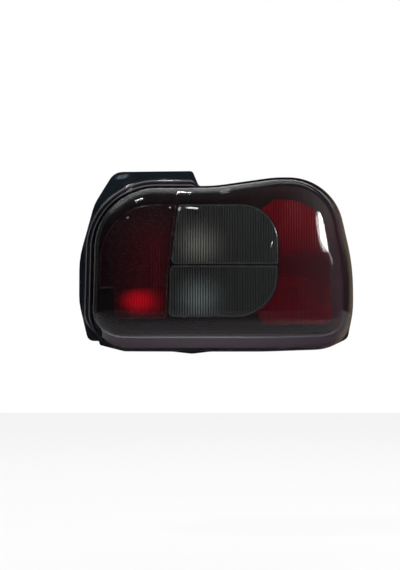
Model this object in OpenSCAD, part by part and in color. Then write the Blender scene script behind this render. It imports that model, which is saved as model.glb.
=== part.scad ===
/* Tail light cluster for the right-hand rear corner of a car.
   +X is towards the outer side of the car, +Y points into the car body and +Z is up.
   The light shines towards -Y. The origin is the centre of the four-stud pattern, on the
   plane where the studs' bosses and the gasket meet the body. All sizes are in millimetres. */

/* [Outer lens] */
// Left side of the lens foot, from the origin
lens_left = 138; // [132:0.5:143]
// Right side of the lens foot, from the origin
lens_right = 144; // [141:0.5:150]
// Top of the lens foot over the left half
lens_top = 91.5; // [88:0.5:96]
// How much higher the hump over the right half stands
hump_rise = 9.5; // [7:0.5:12]
// Bottom of the lens foot
lens_bottom = 86; // [82:0.5:90]
// Radius of the wide top left corner, in front view
corner_tl = 69; // [60:0.5:74]
// Radius of the top right corner
corner_tr = 58.5; // [50:0.5:62]
// Radius of the bottom right corner
corner_br = 32; // [28:0.5:33]
// Radius of the bottom left corner
corner_bl = 40; // [38:0.5:42]
// Wall of the outer lens
lens_wall = 2.8; // [2:0.1:3]
// Height of the crown above the flange
crown_h = 44; // [42:0.5:50]
// Thickness of the lens lip that lies on the flange
lip_t = 3; // [2:0.1:4]
// Width of the lip over the left side
lip_w = 10; // [7:0.5:11]
// Height of the ridge that runs along the wide lip
ridge_h = 2.5; // [1:0.5:4]
// Width of the lip over the rest of the rim
rim_w = 2; // [1.5:0.1:2.4]
// Draft of the lens wall at the top and left, as a width in front view
lean_least = 3; // [2:0.5:4]
// Extra width that the sloping skirt takes at the bottom
lean_bottom = 9; // [6:0.5:9.5]
// Extra width that the wall takes at the right
lean_right = 3.5; // [1:0.5:6]
// Width of the rounded slope between the crease and the face
slope_w = 18; // [12:0.5:18.5]

/* [Housing] */
// Thickness of the flange plate
flange_t = 4; // [3:0.5:5]
// Height of the gasket and of the stud bosses
gasket_h = 5; // [4:0.5:7]
// Width of the gasket
gasket_w = 9; // [6:0.5:10]
// Depth of the return edge behind the flange
edge_d = 3.5; // [2:0.5:3.5]
// Wall of the bucket
bucket_wall = 2.5; // [2:0.1:3]
// Back wall of the bucket
back_wall = 3; // [2.5:0.1:3]
// Stud radius (M6)
stud_r = 3; // [2.5:0.5:4]
// Length of stud that stands behind the body plane
stud_l = 22; // [16:1:30]
// Distance between the studs, across
stud_pitch_x = 244; // [240:0.5:246]
// Distance between the studs, up and down
stud_pitch_z = 135; // [132:0.5:137]
// Radius of a stud boss
boss_r = 8; // [7:0.5:8.5]

/* [Inner lenses] */
// Gap between the crown and the faces of the inner lenses
module_gap = 13; // [11:0.5:14]
// Thickness of the inner lenses
optic_t = 2.4; // [1.8:0.1:3]
// Depth of the inner lenses' side walls
skirt_d = 10; // [8:0.5:12]
// Thickness of the inner lenses' side walls
skirt_t = 1.8; // [1.4:0.1:2.2]
// Pitch of the vertical flutes
flute_p = 2.8; // [2.4:0.1:4]
// Height of a flute
flute_h = 0.5; // [0.3:0.05:0.7]
// Clearance round the inner lenses
fit_gap = 0.4; // [0.3:0.05:0.6]
// Clearance between parts that seat on each other
seat_gap = 0.2; // [0.1:0.05:0.3]

/* [Reflectors and bulbs] */
// Focal length of the reflector bowls
focal = 12; // [11:0.5:12.5]
// Wall of the reflectors
reflector_t = 1.8; // [1.2:0.1:2]
// Radius of the hole that a bulb passes through
bulb_hole_r = 15; // [14:0.5:15.5]
// Radius of the bulb's glass
glass_r = 12.5; // [11:0.5:13]
// Length of the bulb's glass
glass_l = 33.5; // [32:0.5:34]
// Room between the crown of the inner lenses and the bulbs; the bucket is as deep as this needs
bulb_room = 14.5; // [11:0.5:14.5]
// Radius of the bulb's metal cap
cap_r = 7.5; // [7.4:0.05:7.6]

/* [Bulb carrier] */
// Thickness of the carrier plate
plate_t = 3; // [2.5:0.1:4]
// Thickness of the foam seal under the carrier
seal_t = 4; // [3:0.5:5]
// Outer radius of a lamp socket
socket_r = 10; // [9.5:0.25:10.5]
// Thickness of the contact strips
strip_t = 0.8; // [0.5:0.1:1]
// Width of the contact strips
strip_w = 3.4; // [2.6:0.1:3.8]
// Depth of the connector's shroud
shroud_d = 13; // [10:0.5:16]

/* [Hidden] */
$fn = 32;

// Levels along Y. Negative values are in front of the body plane.
flange_back = -gasket_h;
flange_front = flange_back - flange_t;
// The depths inside the lens are drawn for a crown of 44, and stretch with it.
stretch_y = crown_h / 44;
face_gap = module_gap * stretch_y;
skirt_l = skirt_d * stretch_y;
cap_front = flange_front - crown_h + face_gap + bulb_room + glass_l;
bucket_d = cap_front + 8;
back_inside = bucket_d - back_wall;
plate_front = bucket_d + seal_t;
plate_back = plate_front + plate_t;
far = 80;

// The layout in front view is drawn for a lens foot that reaches 138 to the left, 144 to the
// right, 86 down and 91.5 up, and stretches with the lens.
stretch_x = (lens_left + lens_right) / (138 + 144);
stretch_z = (lens_top + lens_bottom) / (91.5 + 86);
stretch_r = min(stretch_x, stretch_z);
function px(x) = (x + 138) * stretch_x - lens_left;
function pz(z) = (z + 86) * stretch_z - lens_bottom;
function at(x, z) = [px(x), pz(z)];
function placed(shape) = [for (c = shape) [px(c[0]), pz(c[1]), c[2] * stretch_r]];
// The same corners with radii that still fit when the lens gets lower or narrower.
function fitted(shape) = [for (c = shape) [c[0], c[1], c[2] * stretch_r]];

// The top edge dips at dip_x and swells to its full height at hump_x.
dip_x = px(-5);
dip_r = 150;
hump_x = px(62);
hump_r = 130;

// Corners are [x, z, radius], anticlockwise in front view.
lens_shape = fitted([
  [-lens_left - 2, -lens_bottom, corner_bl],
  [px(50), -lens_bottom, 300],
  [lens_right - 27, -lens_bottom + 1.8, 42],
  [lens_right - 4.4, -lens_bottom + 13, corner_br],
  [lens_right + 1.8, pz(-44), 100],
  [lens_right + 1.8, pz(4.5), 228],
  [lens_right - 19.4, lens_top + hump_rise, corner_tr],
  [hump_x, lens_top + hump_rise, hump_r],
  [dip_x, lens_top, dip_r],
  [-lens_left + 2, lens_top, corner_tl]]);

// The flange follows the lens, with a wider border and a tab at the left, where a lid overlaps it.
border = 2.5;
tab_top = lens_top + 18.5;
flange_shape = fitted([
  [-lens_left + 35, -lens_bottom - border - 0.3, 20],
  [px(-50), -lens_bottom - border - 0.5, 30],
  [px(-29), -lens_bottom - border - 2.9, 12],
  [px(-9), -lens_bottom - border - 0.5, 30],
  [px(50), -lens_bottom - border - 0.5, 300],
  [lens_right - 26.5, -lens_bottom + 1.9 - border, 50],
  [lens_right - 4.6 + border, -lens_bottom + 13.9 - border, 8],
  [lens_right + 1.8 + border, pz(-44), 100],
  [lens_right + 1.8 + border, pz(4.8), 228 + border],
  [lens_right - 19.9 + border, lens_top + hump_rise + border, corner_tr + border],
  [hump_x, lens_top + hump_rise + border, hump_r + border],
  [dip_x, lens_top + border, dip_r - border],
  [px(-21.5), lens_top + border, 3],
  [px(-28.5), tab_top + 0.5, 4],
  [-lens_left + 23, tab_top - 0.5, 17],
  [-lens_left + 1, pz(73.5), 44],
  [-lens_left - 15.2, pz(14), 99],
  [-lens_left - 15.2, pz(-35.5), 66],
  [-lens_left - 5, -lens_bottom + 8.5, 8],
  [-lens_left + 6.8, -lens_bottom + 8.7, 1.5],
  [-lens_left + 7.8, -lens_bottom + 4.2, 2.5]]);

bezel_shape = fitted([
  [-lens_left + 6.2, -lens_bottom + 19, 30],
  [lens_right - 8, -lens_bottom + 19, 22],
  [lens_right - 8, pz(4.5), 218],
  [lens_right - 26, lens_top + hump_rise - 10.5, 48],
  [hump_x, lens_top + hump_rise - 10.5, hump_r - 10],
  [dip_x, lens_top - 10, dip_r + 10],
  [-lens_left + 7.5, lens_top - 10, corner_tl - 9]]);

bucket_shape = placed([
  [-118, -63.5, 12], [125.5, -63.5, 30], [118.5, 80, 44], [62, 80, 110], [-5, 70, 170],
  [-117.5, 70, 49]]);

carrier_left = px(-110);
carrier_right = px(114);
carrier_top = pz(56.5);
carrier_bottom = pz(-60);
carrier_shape = [
  [carrier_left, carrier_bottom, 8], [carrier_right, carrier_bottom, 16],
  [carrier_right, carrier_top, 16], [carrier_left, carrier_top, 30]];

left_shape = placed([
  [-112.5, -53.5, 8], [-56.2, -53.5, 6], [-55, -5, 150], [-45.5, 70, 2.5],
  [-128, 70, 60], [-129.4, -20.5, 2], [-113.5, -20.5, 0.5]]);
// The left lens serves two chambers, which part here.
chamber_split = pz(-20.5);
indicator_shape = placed([[-52, 5.4, 6], [64, 5.4, 2], [64, 69.5, 40], [-43.6, 69.5, 3]]);
reversing_shape = placed([[-54.2, -51.5, 6], [62, -51.5, 46], [63.5, 3.6, 2], [-52.4, 3.6, 6]]);
right_shape = placed([
  [38, -40.5, 1], [46.5, -59.5, 9], [124.5, -59.5, 13], [118, 75, 46], [61, 75, 6], [40, 61, 1]]);

tail_at = at(-82, 25);
fog_at = at(-82, -36);
indicator_at = at(-22, 30);
reversing_at = at(-22, -28);
stop_at = at(88, 6);
bulbs_at = [tail_at, fog_at, indicator_at, reversing_at, stop_at];

studs_at = [for (i = [-1, 1], j = [-1, 1]) [i * stud_pitch_x / 2, j * stud_pitch_z / 2]];

// Rounded outlines

function unit(v) = v / norm(v);
function flat(c) = [c[0], c[1]];

// The arc at corner i of shape v, as [point, outward normal] pairs.
function corner(v, i, tol) =
  let (k = len(v), b = flat(v[i]), r = v[i][2],
    u = unit(b - flat(v[(i + k - 1) % k])),
    w = unit(flat(v[(i + 1) % k]) - b),
    s = sign(cross(u, w)),
    turn = s * acos(u * w),
    middle = b + unit(w - u) * r / cos(turn / 2),
    first = atan2(-u[0], u[1]),
    steps = max(1, ceil(abs(turn) / (2 * acos(max(0, 1 - tol / r))))))
  [for (j = [0:steps])
    let (n = [cos(first + turn * j / steps), sin(first + turn * j / steps)])
    [middle + s * r * n, n]];

// Extra points along the straight side after corner i, no more than span apart.
function side(v, i, tol, span) =
  let (c = corner(v, i, tol), e = c[len(c) - 1],
    f = corner(v, (i + 1) % len(v), tol)[0],
    gaps = ceil(norm(f[0] - e[0]) / span))
  [for (j = [1:1:gaps - 1]) [e[0] + (f[0] - e[0]) * j / gaps, e[1]]];

function rounded(v, tol = 0.12, span = 1000) =
  [for (i = [0:len(v) - 1]) each concat(corner(v, i, tol), side(v, i, tol, span))];

// The outline moved out by d.
function moved(ring, d) = [for (q = ring) q[0] + d * q[1]];

module outline(shape, d = 0) {
  polygon(moved(rounded(shape), d));
}

// A flat shape in x and z, made solid from y0 to y1.
module upright(y0, y1) {
  translate([0, y1, 0]) rotate([90, 0, 0]) linear_extrude(y1 - y0) children();
}

module ring(shape, outer, inner, y0, y1) {
  upright(y0, y1) difference() {
    outline(shape, outer);
    outline(shape, inner);
  }
}

// A round bar along Y at p = [x, z].
module bar(p, r, y0, y1) {
  translate([p[0], y1, p[1]]) rotate([90, 0, 0]) cylinder(r = r, h = y1 - y0);
}

// The crown and the faces below it

crown_x = px(-10);
crown_z = pz(-5);
wrap_x = px(56);
// Height of the lens face above the flange at x, z. It falls away faster past wrap_x, where the
// lamp turns round the corner of the car.
function crown(x, z) = crown_h - stretch_y * (
  0.0007 * pow((x - crown_x) / stretch_x, 2) + 0.0008 * pow((z - crown_z) / stretch_z, 2)
  + 0.0016 * pow(max(0, x - wrap_x) / stretch_x, 2));

// Y of the inner lenses' common face at x, moved back by b. It curves in plan only.
function face_y(x, b = 0) = flange_front - crown(x, crown_z) + face_gap + b;

plan_step = 12;
plan_x = [for (x = [-2 * far:plan_step:2 * far]) x];

// Everything from b0 behind the common face, back to far.
module behind_face(b0) {
  last = len(plan_x) - 1;
  translate([0, 0, -2 * far]) linear_extrude(4 * far)
    polygon(concat([for (x = plan_x) [x, face_y(x, b0)]], [[plan_x[last], far], [plan_x[0], far]]));
}

// Outer lens

function ramp(t, t0, t1) = let (s = max(0, min(1, (t - t0) / (t1 - t0)))) s * s * (3 - 2 * s);
// The lip is wide from the foot of the left side round to the end of the tab.
function wide(p) = ramp(p[1], -72, -48) * ramp(p[0], -22, -30);
function lip(p) = rim_w + (lip_w - rim_w) * wide(p);
function lean(n) =
  lean_least + lean_bottom * pow(max(0, -n[1]), 1.5) + lean_right * pow(max(0, n[0]), 2);

wall_share = 0.65;
slope_from = 28;
slope_steps = 5;
lens_ring = rounded(lens_shape, 0.35, 24);
lens_hub = at(4, 4);

// A point of the lens skin at outline point q: moved in by d, at height h.
function skin_point(q, d, h) =
  let (p = q[0] - d * q[1]) [p[0], flange_front - h, p[1]];
// Crown height over the point that lies d inside the outline at q.
function over(q, d) = let (p = q[0] - d * q[1]) crown(p[0], p[1]);

// The slope between crease and face is a stretch of an ellipse, from slope_from to 90 degrees.
// t is the wall thickness that the skin is set in by: 0 for the outside.
function slope_point(q, j, t) =
  let (a = slope_from + (90 - slope_from) * j / slope_steps,
    along = slope_w * (cos(slope_from) - cos(a)) / cos(slope_from),
    rise = (sin(a) - sin(slope_from)) / (1 - sin(slope_from)),
    d = lean(q[1]) + along,
    h = over(q, d) * (wall_share + (1 - wall_share) * rise))
  skin_point(q, d + t * cos(a), h - t * sin(a));

function face_point(q, s, t) =
  let (e = q[0] - (lean(q[1]) + slope_w) * q[1], p = e + (lens_hub - e) * s)
  [p[0], flange_front - crown(p[0], p[1]) + t, p[1]];

function skin(t) = concat(
  [for (j = [0:slope_steps]) [for (q = lens_ring) slope_point(q, j, t)]],
  [for (s = [0.25, 0.5, 0.75]) [for (q = lens_ring) face_point(q, s, t)]]);

// A ring of the lip: at share s of its width, raised by share r of the ridge's height.
function lip_ring(s, r) =
  [for (q = lens_ring) skin_point(q, -s * lip(q[0]), lip_t + r * ridge_h * wide(q[0]))];
function outside_rings() = concat(
  [[for (q = lens_ring) skin_point(q, -lip(q[0]), 0)],
   lip_ring(1, -0.3), lip_ring(0.9, 0.15), lip_ring(0.72, 0.2), lip_ring(0.6, 1),
   lip_ring(0.4, 1), lip_ring(0.28, 0), lip_ring(0, 0)],
  skin(0));
function inside_rings() = concat([[for (q = lens_ring) skin_point(q, lens_wall, 0)]], skin(lens_wall));

// Two triangles for each step between rings of n points, from point number a to number b.
function band(a, b, n) =
  [for (i = [0:n - 1]) let (j = (i + 1) % n) each [[a + i, b + i, b + j], [a + i, b + j, a + j]]];

module outer_lens() {
  out = outside_rings();
  in = inside_rings();
  n = len(lens_ring);
  a = len(out);
  b = len(in);
  hub_y = flange_front - crown(lens_hub[0], lens_hub[1]);
  points = concat([for (r = out) each r], [for (r = in) each r],
    [[lens_hub[0], hub_y, lens_hub[1]], [lens_hub[0], hub_y + lens_wall, lens_hub[1]]]);
  last = len(points) - 1;
  color("#2a2428")
    polyhedron(points, concat(
      [for (k = [0:a - 2]) each band(k * n, (k + 1) * n, n)],
      [for (i = [0:n - 1]) [(a - 1) * n + i, last - 1, (a - 1) * n + (i + 1) % n]],
      [for (k = [a:a + b - 2]) each band((k + 1) * n, k * n, n)],
      [for (i = [0:n - 1]) [last, (a + b - 1) * n + i, (a + b - 1) * n + (i + 1) % n]],
      band(a * n, 0, n)));
}

bead_h = 1.5;
bead_out = 0.6;
bead_in = -2.2;
// Sealing bead in a groove of the flange, under the lens foot.
module lens_seal() {
  color("#18181a") ring(lens_shape, bead_out, bead_in, flange_front, flange_front + bead_h);
}

// Housing

stud_head_r = 6;
stud_head_t = 3;
stud_head_back = flange_back + 2;
// The stud is this much thicker where its boss grips it.
knurl = 0.6;

module stud(p) {
  bar(p, stud_r, -0.5, stud_l);
  bar(p, stud_r + knurl, stud_head_back - 0.5, 0);
  bar(p, stud_head_r, stud_head_back - stud_head_t, stud_head_back);
}

module mounting_studs() {
  color("silver") for (p = studs_at) stud(p);
}

breather_at = at(74, 69);
breather_r = 4;
breather_l = 9;
clip_x = [px(-62), px(-2), px(62)];
clip_t = 2;
clip_w = 9;
clip_gap = 0.3;
clip_nose = 1.6;

// A snap clip that holds the carrier's edge at z. side is 1 at the top and -1 at the bottom.
module clip(x, z, side) {
  root = z + side * clip_gap;
  translate([x - clip_w / 2, 0, 0]) rotate([90, 0, 90]) linear_extrude(clip_w)
    polygon([
      [bucket_d - 0.5, root], [plate_back + clip_gap, root],
      [plate_back + clip_gap, root - side * clip_nose],
      [plate_back + clip_gap + 0.8, root - side * clip_nose],
      [plate_back + clip_gap + 3, root + side * clip_t],
      [bucket_d - 0.5, root + side * clip_t]]);
}

edge_wall = 1.8;
rib_t = 1.6;
rib_h = 2;
module back_ribs() {
  // Short ribs over the blank top edge of the back wall
  for (x = [18:14:60]) translate([px(x), bucket_d - 0.5, pz(60.5)])
    cube([rib_t, rib_h + 0.5, pz(75.5) - pz(60.5)]);
  translate([px(18), bucket_d - 0.5, pz(67)]) cube([px(61) - px(18), rib_h + 0.5, rib_t]);
}

module housing() {
  color("#1c1e22") difference() {
    union() {
      upright(flange_front + 0.8, flange_back) outline(flange_shape);
      upright(flange_front, flange_front + 0.8) outline(flange_shape, -0.8);
      ring(flange_shape, 0, -edge_wall, flange_back - 0.5, flange_back + edge_d);
      upright(flange_back - 0.5, bucket_d) outline(bucket_shape);
      for (p = studs_at) bar(p, boss_r, flange_back - 0.5, 0);
      for (x = clip_x) {
        clip(x, carrier_top, 1);
        clip(x, carrier_bottom, -1);
      }
      back_ribs();
      bar(breather_at, breather_r, bucket_d - 0.5, bucket_d + breather_l);
    }
    upright(flange_front - 1, back_inside) outline(bucket_shape, -bucket_wall);
    ring(lens_shape, bead_out, bead_in, flange_front - 1, flange_front + bead_h);
    for (p = studs_at) {
      bar(p, stud_head_r, stud_head_back - stud_head_t, stud_head_back);
      bar(p, stud_r + knurl, stud_head_back - 0.5, 1);
    }
    for (p = bulbs_at) bar(p, bulb_hole_r, back_inside - 1, bucket_d + 1);
    bar(breather_at, breather_r - 1.6, back_inside - 1, bucket_d + breather_l + 1);
  }
}

pad_w = 2;
pad_neck = 9;
// Foam ring round the bucket, with a pad round each stud boss that a neck joins to it. The necks
// run on towards the middle, and the bucket's hole cuts them off.
module body_gasket() {
  color("#0e0e10") difference() {
    upright(flange_back, 0) intersection() {
      union() {
        outline(bucket_shape, gasket_w + 0.3);
        for (p = studs_at) translate(p) {
          circle(boss_r + 0.5 + pad_w);
          rotate(atan2(-p[1], -p[0])) translate([0, -pad_neck / 2])
            square([norm(p), pad_neck]);
        }
      }
      outline(flange_shape, -edge_wall - 0.4);
    }
    upright(flange_back - 1, 1) outline(bucket_shape, 0.3);
    for (p = studs_at) bar(p, boss_r + 0.5, flange_back - 1, 1);
  }
}

cap_wall = 1.6;
// Rubber cap with a cross cut, over the breather tube.
module breather_cap() {
  end = bucket_d + breather_l;
  color("#151515") difference() {
    union() {
      bar(breather_at, breather_r + cap_wall, bucket_d + 2, end + 1.5);
      bar(breather_at, breather_r + cap_wall + 0.8, bucket_d + 2, bucket_d + 3.6);
    }
    bar(breather_at, breather_r, bucket_d + 1, end);
    for (turn = [0, 90])
      translate([breather_at[0], end + 1, breather_at[1]]) rotate([0, turn, 0])
        cube([6, 3, 0.6], center = true);
  }
}

// Bezel and inner lenses

bezel_back = 3;
bezel_t = 2;
bezel_edge = 1.6;

// The right lens wraps round the two middle ones.
module right_outline(d) {
  difference() {
    outline(right_shape, d);
    outline(indicator_shape, optic_land - d);
    outline(reversing_shape, optic_land - d);
  }
}
optic_land = 1.4;

module bezel() {
  color("#111113") difference() {
    intersection() {
      upright(-far, flange_front) outline(bezel_shape);
      behind_face(bezel_back);
    }
    intersection() {
      upright(-far, flange_front + 1) outline(bezel_shape, -bezel_edge);
      behind_face(bezel_back + bezel_t);
    }
    for (s = [left_shape, indicator_shape, reversing_shape])
      upright(-far, 0) outline(s, fit_gap);
    upright(-far, 0) right_outline(fit_gap);
  }
}

// The solid behind a fluted face from left to right, back to the skirt's end. Each flute is a low
// arch.
module fluted(left, right) {
  x0 = px(left);
  x1 = px(right);
  count = ceil((x1 - x0) / flute_p);
  arch = [-1, -0.5, 0, 0.5];
  translate([0, 0, -2 * far]) linear_extrude(4 * far) polygon(concat(
    [for (i = [0:count - 1], u = arch)
      let (x = x0 + (i + 0.5 + u / 2) * flute_p) [x, face_y(x) - flute_h * (1 - u * u)]],
    [for (x = [x0 + count * flute_p:-plan_step:x0]) [x, face_y(x, skirt_l)]],
    [[x0, face_y(x0, skirt_l)]]));
}

// An inner lens: a fluted face with a side wall all round, in front of the flange. Children are
// its outline and then the outline inside its side wall.
module optic(left, right) {
  difference() {
    intersection() {
      upright(-far, flange_front - seat_gap) children(0);
      fluted(left, right);
    }
    intersection() {
      upright(-far, 1) children(1);
      behind_face(optic_t);
    }
  }
}

module left_inner_lens() {
  color("#7a0c14") optic(-131, -44) {
    outline(left_shape);
    outline(left_shape, -skirt_t);
  }
}
module indicator_inner_lens() {
  color("#6f7470") optic(-56, 67) {
    outline(indicator_shape);
    outline(indicator_shape, -skirt_t);
  }
}
module reversing_inner_lens() {
  color("#6f7674") optic(-59, 67) {
    outline(reversing_shape);
    outline(reversing_shape, -skirt_t);
  }
}
module right_inner_lens() {
  color("#8a0f1a") optic(36, 129) {
    right_outline(0);
    right_outline(-skirt_t);
  }
}

// Reflectors

bowl_back = cap_front;
floor_y = flange_front - seat_gap;
neck_t = 1.8;

// The space inside a bowl of revolution, open towards -Y, with its lowest point at y.
module bowl(p, y, extra) {
  deep = 60;
  step = 4;
  rim = sqrt(4 * focal * deep);
  translate([p[0], y, p[1]]) rotate([90, 0, 0]) rotate_extrude($fn = 64)
    polygon(concat([[0, 0]], [for (r = [step:step:rim]) [r + extra, r * r / (4 * focal)]], [[0, deep]]));
}

// A reflector for the bulb at p. Children are its outline and the outline inside its wall.
module reflector(p) {
  color("#c9ccd0") difference() {
    union() {
      intersection() {
        behind_face(skirt_l + seat_gap);
        union() {
          upright(-far, floor_y) children(0);
          intersection() {
            upright(-far, far) children(0);
            bowl(p, bowl_back + reflector_t, 0.6);
          }
        }
      }
      bar(p, bulb_hole_r + neck_t, bowl_back - 8, back_inside - seat_gap);
    }
    intersection() {
      upright(-far, far) children(1);
      union() {
        upright(-far, floor_y - reflector_t) children(1);
        bowl(p, bowl_back, 0);
      }
    }
    bar(p, bulb_hole_r, bowl_back - 22, back_inside + 1);
  }
}

module tail_outline(d) {
  intersection() {
    outline(left_shape, d);
    translate([-2 * far, chamber_split - d + 0.4]) square(2 * far);
  }
}
module fog_outline(d) {
  intersection() {
    outline(left_shape, d);
    translate([-2 * far, chamber_split + d - 0.4 - 2 * far]) square(2 * far);
  }
}
module tail_reflector() {
  reflector(tail_at) {
    tail_outline(0);
    tail_outline(-reflector_t);
  }
}
module fog_reflector() {
  reflector(fog_at) {
    fog_outline(0);
    fog_outline(-reflector_t);
  }
}
module indicator_reflector() {
  reflector(indicator_at) {
    outline(indicator_shape);
    outline(indicator_shape, -reflector_t);
  }
}
module reversing_reflector() {
  reflector(reversing_at) {
    outline(reversing_shape);
    outline(reversing_shape, -reflector_t);
  }
}
module stop_reflector() {
  reflector(stop_at) {
    right_outline(0);
    right_outline(-reflector_t);
  }
}

// Bulbs

cap_back = cap_front + 18.5;
pin_y = cap_front + 11;
glass_wall = 0.9;
neck_r = 6.6;

// Half section of the glass: a neck, a cone and a round end.
function glass_section(t) = concat(
  [[neck_r - t, 0], [neck_r - t, 4], [glass_r - 2.5 - t, 12], [glass_r - t, glass_l - glass_r]],
  [for (a = [15:15:90])
    [(glass_r - t) * cos(a), glass_l - glass_r + (glass_r - t) * sin(a)]]);

module bulb_glass(p, tint) {
  out = glass_section(0);
  in = glass_section(glass_wall);
  color(tint) translate([p[0], cap_front, p[1]]) rotate([90, 0, 0]) rotate_extrude($fn = 48)
    polygon(concat(out, [for (i = [len(in) - 1:-1:0]) in[i]]));
}

filament_y = cap_front - 20;
// The stop bulb has two contacts, this far above and below its middle.
twin_contacts = [-3.5, 3.5];
module bulb_cap(p, contacts = [0]) {
  color("#b8963e") {
    bar(p, cap_r, cap_front, cap_back);
    bar(p, cap_r - 1.5, cap_back - 0.5, cap_back + 0.9);
    for (x = contacts) bar(p + [0, x], 1.6, cap_back, cap_back + 1.7);
    translate([p[0], pin_y, p[1]]) rotate([0, 90, 0])
      cylinder(r = 1, h = 2 * cap_r + 2.2, center = true);
    for (x = [-3, 3]) bar(p + [x, 0], 0.35, filament_y, cap_front + 0.5);
    translate([p[0], filament_y, p[1]]) rotate([0, 90, 0])
      cylinder(r = 0.6, h = 7.4, center = true);
  }
}

// Bulb carrier

socket_front = cap_front + 3;
socket_back = cap_front + 22;
socket_end = 1.5;
bore_r = cap_r + 0.3;
contact_hole = 2.4;
shroud_at = at(34, 1);
shroud_w = 24;
shroud_h = 17;
shroud_t = 1.6;
pin_pitch = 6;
pin_row = 4;
row_z = shroud_at[1];
strip_gap = 0.3;

module shroud() {
  translate([shroud_at[0], plate_back + shroud_d / 2 - 0.25, shroud_at[1]]) difference() {
    cube([shroud_w, shroud_d + 0.5, shroud_h], center = true);
    cube([shroud_w - 2 * shroud_t, shroud_d + 1.5, shroud_h - 2 * shroud_t], center = true);
  }
}

module socket(p) {
  bar(p, socket_r, socket_front, socket_back);
}

module socket_cuts(p) {
  bar(p, bore_r, socket_front - 1, socket_back - socket_end);
  translate([p[0], (socket_front - 1 + pin_y + 1.4) / 2, p[1]])
    cube([2 * socket_r + 2, pin_y + 1.4 - socket_front + 1, 2.8], center = true);
}

module bulb_carrier() {
  color("#d8d6cf") difference() {
    union() {
      upright(plate_front, plate_back) outline(carrier_shape);
      ring(carrier_shape, -3, -4.6, plate_back - 0.5, plate_back + 2);
      for (p = bulbs_at) socket(p);
      shroud();
      // Finger grips at both ends
      for (x = [-100, 102]) translate([px(x), plate_back - 0.5, pz(-12)]) cube([1.8, 9, 26]);
    }
    for (p = bulbs_at) socket_cuts(p);
    for (p = bulbs_at, z = p == stop_at ? twin_contacts : [0])
      bar(p + [0, z], contact_hole, socket_back - 3, socket_back + 1);
    // Windows in the shroud's foot, where the strips pass
    for (x = [-1:1]) strip_window([shroud_at[0] + x * pin_pitch, row_z]);
    translate([shroud_at[0], plate_back + strip_t / 2, row_z])
      cube([shroud_w + 2, strip_t + 2 * strip_gap, strip_w + 2 * strip_gap], center = true);
  }
}

module strip_window(p) {
  translate([p[0], plate_back + strip_t / 2, p[1]])
    cube([strip_w + 2 * strip_gap, strip_t + 2 * strip_gap, shroud_h + 2], center = true);
}

module carrier_seal() {
  color("#101010") ring(carrier_shape, -1.5, -6.5, bucket_d, plate_front);
}

// Contact strips, flat on the back of the carrier

// A strip along a path of [x, z] points.
module strip(path) {
  for (i = [0:len(path) - 2]) {
    low = [min(path[i][0], path[i + 1][0]), min(path[i][1], path[i + 1][1])];
    high = [max(path[i][0], path[i + 1][0]), max(path[i][1], path[i + 1][1])];
    translate([low[0] - strip_w / 2, plate_back, low[1] - strip_w / 2])
      cube([high[0] - low[0] + strip_w, strip_t, high[1] - low[1] + strip_w]);
  }
}

blade_w = 2.8;
// A blade of the connector at column x and row z.
module blade(x, z) {
  translate([x - blade_w / 2, plate_back, z - strip_t / 2]) cube([blade_w, shroud_d - 3, strip_t]);
}

feed_r = socket_r + 0.4;
// The arm that climbs a socket at p from its upper (side 1) or lower (side -1) edge and ends
// reach mm past the socket's middle, with a pip that meets the bulb's contact.
module feed(p, side, reach, pip_z) {
  wide = strip_w;
  z0 = feed_r;
  translate([p[0], 0, p[1]]) scale([1, 1, side]) {
    translate([-wide / 2, plate_back, z0]) cube([wide, socket_back - plate_back + strip_t, strip_t]);
    translate([-wide / 2, socket_back, -reach]) cube([wide, strip_t, z0 + strip_t + reach]);
    translate([-wide / 2, plate_back, z0]) cube([wide, strip_t, 4]);
    bar([0, pip_z], 1.2, cap_back + 1.9, socket_back + 0.2);
  }
}

pins_x = [for (i = [-1:1]) shroud_at[0] + i * pin_pitch];
upper_row = row_z + pin_row;
lower_row = row_z - pin_row;
feed_top = feed_r + 2.5;

// Part of a ring round the socket at p, from angle a over the angle turn.
module earth_arc(p, a, turn) {
  translate([p[0], plate_back + strip_t, p[1]]) rotate([90, 0, 0])
    rotate_extrude(angle = turn, start = a) translate([socket_r + 0.2, 0]) square([3.4, strip_t]);
}

module earth_strip() {
  spine = px(-52);
  color("#c8a24a") {
    strip([[spine, row_z], [stop_at[0] - socket_r - 2, row_z]]);
    strip([[spine, fog_at[1]], [spine, tail_at[1]]]);
    strip([[tail_at[0] + socket_r + 2, tail_at[1]], [indicator_at[0] - socket_r - 2, tail_at[1]]]);
    strip([[fog_at[0] + socket_r + 2, fog_at[1]], [spine, fog_at[1]]]);
    strip([[spine, reversing_at[1]], [reversing_at[0] - socket_r - 2, reversing_at[1]]]);
    for (p = [tail_at, indicator_at]) earth_arc(p, 160, 220);
    for (p = [fog_at, reversing_at]) earth_arc(p, -20, 220);
    earth_arc(stop_at, 125, 110);
    strip([[pins_x[2], row_z], [pins_x[2], upper_row]]);
    blade(pins_x[2], upper_row);
  }
}

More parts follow.
